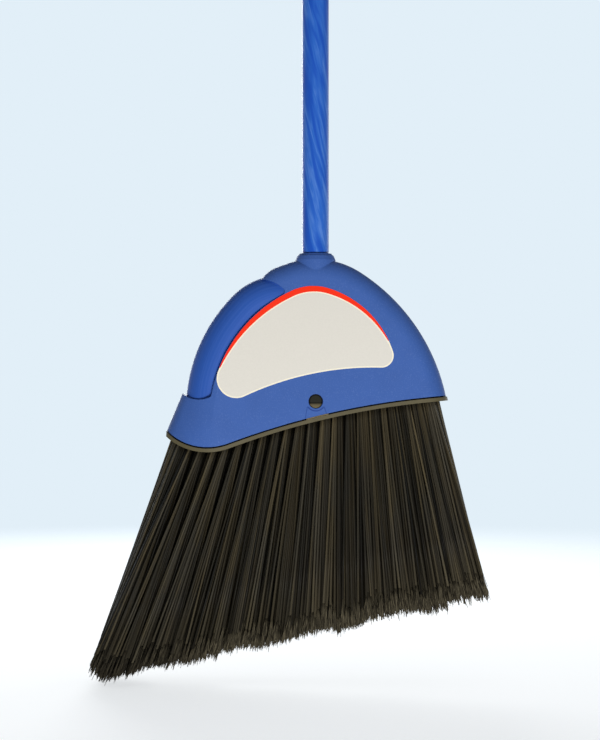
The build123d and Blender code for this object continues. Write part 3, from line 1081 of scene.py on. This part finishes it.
class TuftMesh:
    """Points and faces of many tubes, gathered before they become one mesh."""

    SHADE = "strand_shade"
    SPLIT = "strand_split"

    def __init__(self) -> None:
        """Starts with no tubes."""
        self.points: list[np.ndarray] = []
        self.faces: list[np.ndarray] = []
        self.shade: list[np.ndarray] = []
        self.split: list[np.ndarray] = []
        self.count = 0

    def add_tubes(
        self, paths: np.ndarray, radii: np.ndarray, sides: int, shade: np.ndarray, split: np.ndarray
    ) -> None:
        """Adds closed tubes that share a number of rings.

        Args:
            paths: Middle lines, as tubes by rings by 3.
            radii: Radius at each ring, as tubes by rings.
            sides: Sides of a tube.
            shade: Shade at each ring, from 0 to 1.
            split: How far each ring belongs to a split tip, as tubes by rings.
        """
        tubes, rings = radii.shape
        points = paths[:, :, None, :] + radii[:, :, None, None] * circle(sides)
        start = self.count + np.arange(tubes)[:, None, None] * rings * sides
        self.faces.append((start + tube_walls(rings, sides)).reshape(-1, 4))
        self.faces.append((start + tube_ends(rings, sides)).reshape(-1, sides))
        shades = np.repeat(shade.reshape(-1), sides)
        self.add_points(points.reshape(-1, 3), shades, np.repeat(split.reshape(-1), sides))

    def add_solid(self, points: np.ndarray, faces: np.ndarray) -> None:
        """Adds a plain solid with a dark shade."""
        self.faces.append(faces + self.count)
        self.add_points(points, np.zeros(len(points)), np.zeros(len(points)))

    def add_points(self, points: np.ndarray, shade: np.ndarray, split: np.ndarray) -> None:
        """Adds the points of faces that were just added.

        Args:
            points: The points, as points by 3.
            shade: Shade at each point, from 0 to 1.
            split: How far each point belongs to a split tip.
        """
        self.points.append(points)
        self.shade.append(shade)
        self.split.append(split)
        self.count += len(points)

    def mesh(self, name: str) -> bpy.types.Mesh:
        """Joins what was added into one smooth mesh with its two attributes.

        Args:
            name: The mesh's name.

        Returns:
            The mesh.
        """
        faces = [face for block in self.faces for face in block.tolist()]
        made = new_mesh(name, np.concatenate(self.points), faces, smooth=True)
        for label, values in ((self.SHADE, self.shade), (self.SPLIT, self.split)):
            attribute = made.attributes.new(label, "FLOAT", "POINT")
            attribute.data.foreach_set("value", np.concatenate(values).astype(np.float32))
        return made


@dataclass(frozen=True)
class Tuft:
    """Place of one tuft.

    Attributes:
        root: Where it is welded, along X.
        tip: Where its middle ends, along X.
        depth: The row's place along Y.
        buried: How many rows lie outside it.
        open_end: Whether it shows at the ends of the outer rows.
    """

    root: float
    tip: float
    depth: float
    buried: int
    open_end: bool


@dataclass(frozen=True)
class Strands:
    """The strands of one tuft.

    Attributes:
        root: Where each strand starts.
        tip: Where each strand ends.
        fan: How much further from the tuft's middle line each strand ends than it starts.
        sway: How far each strand bows out at its middle.
        end: Place along each strand where its tip splits, from 0 to 1.
        own: Shade of each strand, from 0 to 1: a random tone times the painted light across X.
        buried: Share of the shade that a buried root keeps: painted shade for rows that outer rows shade.
        gather: How long the tuft stays together before it fans out, where 1 is not at all.
        tip_shade: Share of the shade that is lost towards the tip, as painted shade.
        root_lift: How much paler a strand is painted near its root, as painted light.
        surfacing: How late a buried strand's painted shade gives way, as a power.
        root_lift_power: How soon the painted light at the root ends, as a power.
    """

    root: np.ndarray
    tip: np.ndarray
    fan: np.ndarray
    sway: np.ndarray
    end: np.ndarray
    own: np.ndarray
    buried: float
    gather: float
    tip_shade: float
    root_lift: float
    surfacing: int = 9
    root_lift_power: int = 12

    def points(self, share: np.ndarray) -> np.ndarray:
        """Points of the bowed strands at places along them.

        Args:
            share: Places along each strand, from 0 at the root to 1 at the tip.

        Returns:
            The points, as strands by places by 3.
        """
        straight = self.root[:, None, :] + share[:, :, None] * (self.tip - self.root)[:, None, :]
        held = (share**self.gather - share)[:, :, None] * self.fan[:, None, :]
        return straight + held + np.sin(math.pi * share)[:, :, None] * self.sway[:, None, :]

    def shade(self, share: np.ndarray) -> np.ndarray:
        """Shade along the strands, with painted shade towards a buried root and towards the tip and
        painted light at the root.

        Args:
            share: Places along each strand, from 0 at the root to 1 at the tip.

        Returns:
            One shade for each place.
        """
        depth = self.buried + (1 - self.buried) * share**self.surfacing
        lifted = 1 + self.root_lift * (1 - share) ** self.root_lift_power
        return self.own[:, None] * depth * lifted * (1 - self.tip_shade * share)


@dataclass
class BristleHead:
    """The block, its latches and the rows of bristle tufts that fan out below the flange."""

    # Rows, their bars and the field that they fill
    seed: int = 23
    row_count: int = 7
    row_pitch: float = 5.5 * MM
    bar_half: float = 2.6 * MM
    bar_thickness: float = 1.9 * MM
    bar_steps: int = 40
    root_depth: float = 1.0 * MM
    flange_drop: float = 4.1 * MM
    lower_edge: LowerEdge = LowerEdge()
    field_left: float = -118.48 * MM
    field_right: float = 102.0 * MM
    field_end_left: float = 44.0 * MM
    field_end_right: float = 16.0 * MM
    field_half_depth: float = 24.0 * MM

    # Tips and the slanted cut
    tip_left_x: float = -183.0 * MM
    tip_left_z: float = -354.8 * MM
    tip_right_x: float = 138.0 * MM
    tip_right_z: float = -286.8 * MM
    tip_spread: float = 1.75
    tip_margin: float = 3.0 * MM
    tip_scatter: float = 0.7 * MM
    stray_freedom: float = 3.0
    corner_x: float = -178.0 * MM
    corner_lift: float = 1.3
    cut_wave: float = 1.6 * MM
    cut_wave_run: float = 10.2 * MM
    cut_wave_start: float = 1.78
    tuft_cut: float = 1.2 * MM
    strand_cut: float = 0.9 * MM

    # Tufts and their strands
    tuft_pitch: float = 10.2 * MM
    tuft_scatter: float = 0.255 * MM
    outer_strands: int = 6
    inner_strands: int = 15
    root_half_width: float = 1.6 * MM
    inner_half_width: float = 3.0 * MM
    root_half_depth: float = 1.5 * MM
    tip_half_width: float = 7.6 * MM
    tip_half_depth: float = 3.4 * MM
    gather: float = 1.15
    bow: float = 0.6 * MM
    strand_radius: float = 0.95 * MM
    strand_sides: int = 6
    strand_steps: tuple[float, ...] = (0.0, 0.05, 0.12, 0.3, 0.52, 0.76, 1.0)

    # Split tips, each a swab of fine hairs
    flag_short: float = 15.0 * MM
    flag_long: float = 27.0 * MM
    flag_share: float = 0.5
    flag_power: int = 12
    hair_count: int = 16
    hair_radius: float = 0.28 * MM
    hair_sides: int = 3
    hair_steps: tuple[float, ...] = (0.0, 0.35, 0.7, 1.0)
    hair_taper: tuple[float, ...] = (1.0, 1.0, 1.0, 0.8)
    hair_split: tuple[float, ...] = (0.6, 0.9, 1.0, 1.0)
    hair_least: float = 0.55
    hair_curl: float = 0.7 * MM
    hair_cut: float = 0.6 * MM
    swab_neck: float = 0.45
    swab_radius: float = 1.75 * MM
    swab_round: float = 0.22
    fray_from: float = -150.0 * MM
    fray_to: float = -80.0 * MM
    fray_least: float = 0.35

    # Shades, where tones are the two numbers of a beta distribution
    strand_tones: tuple[float, float] = (1.5, 1.8)
    hair_tones: tuple[float, float] = (0.8, 1.0)
    # Painted shade on buried rows
    inner_shade: float = 0.5
    # Painted shade towards the tips
    tip_painted_shade: float = 0.42
    # Painted light at the roots
    root_painted_light: float = 0.25
    # Painted light across X, darker at the long corner and paler to the right
    side_light_left: float = 0.84
    side_light_right: float = 1.08
    block_paint: Paint = Paint(86, 79, 57)
    # The latch is painted paler than the block, partly as painted light on its barb
    latch_lit_paint: Paint = Paint(118, 108, 82)

    def dress(self) -> None:
        """Gives the block and the latches their finishes."""
        block = BlockPlastic("block_olive_plastic", self.block_paint).make()
        latch = LatchPlastic("latch_olive_plastic", self.latch_lit_paint).make()
        finish_node("bristle_block", block)
        finish_node("front_latch", latch)
        finish_node("rear_latch", latch)

    def build(self) -> None:
        """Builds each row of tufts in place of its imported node."""
        fibre = BristleFibre().make()
        for index in range(self.row_count):
            made = self.row_mesh(index)
            made.materials.append(fibre)
            piece = new_piece(f"bristle_tufts_{index + 1}", made, Body.HEAD)
            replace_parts(piece, f"bristle_row_{index + 1}")

    def row_span(self, depth: float) -> tuple[float, float]:
        """Left and right ends of the row at a depth."""
        fall = 1 - math.sqrt(1 - (depth / self.field_half_depth) ** 2)
        return self.field_left + self.field_end_left * fall, self.field_right - self.field_end_right * fall

    def cut_z(self, x: np.ndarray) -> np.ndarray:
        """Height of the slanted, slightly wavy cut, which rounds up at the long corner.

        Args:
            x: Places along the cut.

        Returns:
            One height for each place.
        """
        slope = (self.tip_right_z - self.tip_left_z) / (self.tip_right_x - self.tip_left_x)
        past = np.maximum(self.corner_x - x, 0)
        wave = self.cut_wave * np.sin(x / self.cut_wave_run + self.cut_wave_start)
        return self.tip_left_z + (x - self.tip_left_x) * slope + past * self.corner_lift + wave

    def side_light(self, x: np.ndarray) -> np.ndarray:
        """Painted light on the strands at places along X, least at the long corner."""
        share = (x - self.tip_left_x) / (self.tip_right_x - self.tip_left_x)
        return self.side_light_left + (self.side_light_right - self.side_light_left) * share

    def fray(self, x: np.ndarray) -> np.ndarray:
        """How far the tips are frayed at places along X, least at the long corner."""
        share = np.clip((x - self.fray_from) / (self.fray_to - self.fray_from), 0, 1)
        return self.fray_least + (1 - self.fray_least) * share

    def row_mesh(self, index: int) -> bpy.types.Mesh:
        """Builds the bar and the tufts of one row.

        Args:
            index: The row's number from the front, from 0.

        Returns:
            The row's mesh.
        """
        chance = np.random.default_rng(self.seed + index)
        depth = self.row_pitch * (index - (self.row_count - 1) / 2)
        buried = min(index, self.row_count - 1 - index)
        gathered = TuftMesh()
        self.add_bar(gathered, depth)
        left, right = self.row_span(depth)
        outer_left, outer_right = self.row_span(self.row_pitch * (self.row_count - 1) / 2)
        margin = self.root_half_width + self.strand_radius
        first, last = left + margin, right - margin
        count = round((last - first) / self.tuft_pitch) + 1
        places = np.linspace(0, 1, count)
        if index % 2:
            places = np.concatenate([[0.0], (places[1:] + places[:-1]) / 2, [1.0]])
        for place in places:
            root = first + place * (last - first) + chance.normal(0, self.tuft_scatter)
            tip = self.tip_left_x + place * (self.tip_right_x - self.tip_left_x)
            open_end = not outer_left < root < outer_right - self.tuft_pitch
            self.add_tuft(gathered, Tuft(root, tip, depth, buried, open_end), chance)
        return gathered.mesh(f"bristle_tufts_{index + 1}")

    def add_bar(self, gathered: TuftMesh, depth: float) -> None:
        """Adds the curved bar that the row's tufts are welded to.

        Args:
            gathered: The mesh under way.
            depth: The row's place along Y.
        """
        left, right = self.row_span(depth)
        x = np.linspace(left, right, self.bar_steps)
        top = self.lower_edge.height(x, self.flange_drop - self.bar_thickness)
        base = self.lower_edge.height(x, self.flange_drop)
        near = np.full_like(x, depth - self.bar_half)
        far = np.full_like(x, depth + self.bar_half)
        corners = [(x, near, top), (x, far, top), (x, far, base), (x, near, base)]
        points = np.stack([np.stack(corner, axis=1) for corner in corners], axis=1).reshape(-1, 3)
        size = (self.bar_steps, len(corners))
        gathered.add_solid(points, np.concatenate([tube_walls(*size), tube_ends(*size)]))

    def add_tuft(self, gathered: TuftMesh, tuft: Tuft, chance: np.random.Generator) -> None:
        """Adds one tuft: strands that fan out from a tight root, each with a split tip.

        Args:
            gathered: The mesh under way.
            tuft: The tuft's place.
            chance: The row's random numbers.
        """
        strands = self.tuft_strands(tuft, chance)
        steps = np.array(self.strand_steps)
        share = strands.end[:, None] * steps
        radii = np.full(share.shape, self.strand_radius)
        split = np.broadcast_to(self.flag_share * steps**self.flag_power, share.shape)
        gathered.add_tubes(strands.points(share), radii, self.strand_sides, strands.shade(share), split)
        self.add_flags(gathered, strands, chance)

    def tuft_strands(self, tuft: Tuft, chance: np.random.Generator) -> Strands:
        """Places the strands of one tuft.

        Args:
            tuft: The tuft's place.
            chance: The row's random numbers.

        Returns:
            The strands.
        """
        count = self.inner_strands if tuft.buried else self.outer_strands
        order = np.arange(count)
        out = np.sqrt((order + 0.5) / count)
        turn = order * GOLDEN_TURN + chance.uniform(0, 2 * math.pi)
        off_x, off_y = out * np.cos(turn), out * np.sin(turn)
        root_half_width = self.inner_half_width if tuft.buried else self.root_half_width
        root_x = tuft.root + root_half_width * off_x
        root_y = tuft.depth + self.root_half_depth * off_y
        root_z = self.lower_edge.height(root_x, self.flange_drop) + self.root_depth
        stray = chance.standard_t(self.stray_freedom, (count, 2)) * self.tip_scatter
        tip_x = tuft.tip + self.tip_half_width * off_x + stray[:, 0]
        tip_x = np.clip(tip_x, self.tip_left_x - self.tip_margin, self.tip_right_x + self.tip_margin)
        tip_y = tuft.depth * self.tip_spread + self.tip_half_depth * off_y + stray[:, 1]
        cut = chance.normal(0, self.tuft_cut) + chance.normal(0, self.strand_cut, count)
        root = np.stack([root_x, root_y, root_z], axis=1)
        tip = np.stack([tip_x, tip_y, self.cut_z(tip_x) + cut], axis=1)
        run = np.array([tuft.tip - tuft.root, tuft.depth * (self.tip_spread - 1), 0.0])
        fan = (tip - root) * LEVEL - run
        sway = chance.normal(0, self.bow, (count, 3)) * LEVEL
        flag = chance.uniform(self.flag_short, self.flag_long, count)
        end = 1 - flag / np.linalg.norm(tip - root, axis=1)
        # A random tone for each strand, times the painted light across X
        own = chance.beta(*self.strand_tones, count) * self.side_light(tip_x)
        # Rows that outer rows cover get painted shade, unless their end shows
        buried = 1.0 if tuft.open_end else self.inner_shade**tuft.buried
        return Strands(root, tip, fan, sway, end, own, buried, self.gather, self.tip_painted_shade, self.root_painted_light)

    def add_flags(self, gathered: TuftMesh, strands: Strands, chance: np.random.Generator) -> None:
        """Adds the fine hairs that each strand's tip is split into, which curl and flare to a round swab.

        Args:
            gathered: The mesh under way.
            strands: The tuft's strands.
            chance: The row's random numbers.
        """
        count = len(strands.root)
        steps = np.array(self.hair_steps)
        start = strands.end[:, None]
        fray = self.fray(strands.tip[:, 0])[:, None]
        flare = (self.swab_neck + (1 - self.swab_neck) * steps) * self.swab_radius * fray
        bend = steps**2 * self.hair_curl * fray
        radii = np.broadcast_to(self.hair_radius * np.array(self.hair_taper), flare.shape)
        split = np.broadcast_to(np.array(self.hair_split), flare.shape)
        for _ in range(self.hair_count):
            out = np.sqrt(chance.uniform(0, 1, (count, 1)))
            turn = chance.uniform(0, 2 * math.pi, (count, 1))
            reach = chance.uniform(self.hair_least, 1.0, (count, 1)) * (1 - self.swab_round * out**2)
            middle = strands.points(start + (1 - start) * reach * steps)
            off_x = out * np.cos(turn) * flare + chance.normal(0, 1, (count, 1)) * bend
            off_y = out * np.sin(turn) * flare + chance.normal(0, 1, (count, 1)) * bend
            off_z = chance.normal(0, self.hair_cut, (count, 1)) * steps
            # Hairs of buried rows keep half of their painted shade, and less frayed hairs are darker
            shade = chance.beta(*self.hair_tones, flare.shape) * (1 + strands.buried) / 2 * fray
            path = middle + np.stack([off_x, off_y, off_z], axis=-1)
            gathered.add_tubes(path, radii, self.hair_sides, shade, split)


@dataclass(frozen=True)
class Lamp:
    """A square soft lamp.

    Attributes:
        name: The lamp's name.
        place: Where it stands.
        size: Its side.
        power: Its power in watts.
    """

    name: str
    place: tuple[float, float, float]
    size: float
    power: float

    def build(self, aim: Vector) -> None:
        """Makes the lamp.

        Args:
            aim: The place that it is turned to.
        """
        data = bpy.data.lights.new(self.name, "AREA")
        data.size = self.size
        data.energy = self.power
        lamp = add_object(self.name, data)
        lamp.location = self.place
        lamp.rotation_euler = (aim - Vector(self.place)).to_track_quat("-Z", "Y").to_euler()


@dataclass
class Studio:
    """Camera, lamps, surround and floor."""

    # Camera
    view_x: float = -12.9 * MM
    view_z: float = -97.2 * MM
    view_distance: float = 1.5
    view_end: float = 50.0
    face_depth: float = 20.0 * MM
    view_height: float = 606.8 * MM
    sensor: float = 36.0

    # Surround and floor
    surround: Paint = Paint(226, 239, 248)
    daylight: Paint = Paint(255, 255, 255)
    ambient: float = 0.18
    floor_paint: Paint = Paint(240, 243, 245)
    floor_gap: float = 1.5 * MM
    floor_glow: float = 0.7
    floor_full: float = 0.35
    floor_end: float = 1.6
    floor_sides: int = 96
    floor_roughness: float = 0.9
    floor_specular: float = 0.1

    # Lamps
    aim: tuple[float, float, float] = (-0.02, 0.0, -0.16)
    lamps: tuple[Lamp, ...] = (
        Lamp("key_lamp", place=(0.15, -1.8, -0.85), size=0.6, power=34.5),
        Lamp("back_lamp", place=(-0.3, 1.9, 0.2), size=1.0, power=24.0),
        Lamp("left_lamp", place=(-1.4, 1.4, -0.1), size=1.0, power=4.5),
        Lamp("right_lamp", place=(1.4, 1.4, -0.1), size=1.0, power=4.5),
    )

    def build(self) -> None:
        """Sets up the whole studio."""
        self.camera()
        self.world()
        self.floor()
        for lamp in self.lamps:
            lamp.build(Vector(self.aim))

    def camera(self) -> None:
        """Makes the level camera of the photograph."""
        data = bpy.data.cameras.new("photo_camera")
        data.sensor_width = self.sensor
        data.lens = self.sensor * self.view_distance / self.view_height
        data.clip_end = self.view_end
        camera = add_object("photo_camera", data)
        camera.location = (self.view_x, -self.view_distance - self.face_depth, self.view_z)
        camera.rotation_euler = (math.radians(90), 0.0, 0.0)
        bpy.context.scene.camera = camera

    def world(self) -> None:
        """Makes the surround: pale where it is seen or mirrored, and dimmer as a light."""
        world = bpy.data.worlds.new("studio_surround")
        world.use_nodes = True
        bpy.context.scene.world = world
        graph = NodeGraph(world.node_tree)
        light = graph.nodes["Background"]
        graph.feed(light.inputs["Color"], self.daylight)
        graph.feed(light.inputs["Strength"], self.ambient)
        seen = graph.node("Background", Color=self.surround)
        pick = graph.node("MixShader")
        for socket, value in zip(pick.inputs, (graph.shown(), light.outputs[0], seen.outputs[0])):
            graph.feed(socket, value)
        graph.feed(graph.nodes["World Output"].inputs["Surface"], pick.outputs[0])

    def floor(self) -> None:
        """Makes a pale round floor below the lowest tips that fades out into the surround."""
        points = circle(self.floor_sides) * self.floor_end
        points[:, 2] = cad_box[0].z - self.floor_gap
        mesh = new_mesh("studio_floor", points, [list(range(self.floor_sides))])
        mesh.materials.append(self.floor_finish())
        floor = add_object("studio_floor", mesh)
        floor.visible_shadow = False

    def floor_finish(self) -> bpy.types.Material:
        """Makes a pale matt material that turns clear towards the floor's rim and is clear from below.

        Returns:
            The material.
        """
        graph = ShaderGraph("floor_pale")
        x, y, _ = graph.parts(graph.place())
        solid = graph.ease(graph.distance(x, y), self.floor_end, self.floor_full)
        below = graph.node("NewGeometry").outputs["Backfacing"]
        graph.surface(
            Base_Color=self.floor_paint,
            Roughness=self.floor_roughness,
            Specular_IOR_Level=self.floor_specular,
            Emission_Color=self.floor_paint,
            Emission_Strength=graph.math("MULTIPLY", graph.shown(), self.floor_glow),
            Alpha=graph.math("MULTIPLY", solid, graph.math("SUBTRACT", 1.0, below)),
        )
        return graph.material


def main() -> None:
    """Dresses the broom and sets up the studio."""
    logging.basicConfig(level=logging.INFO, format="%(message)s")
    bpy.context.scene.view_settings.view_transform = "Standard"
    Studio().build()
    handle = Handle()
    handle.dress()
    handle.build()
    finish_node("head_cap", CapPlastic().make())
    CapLabel().build()
    head = BristleHead()
    head.dress()
    head.build()


if __name__ == "__main__":
    main()
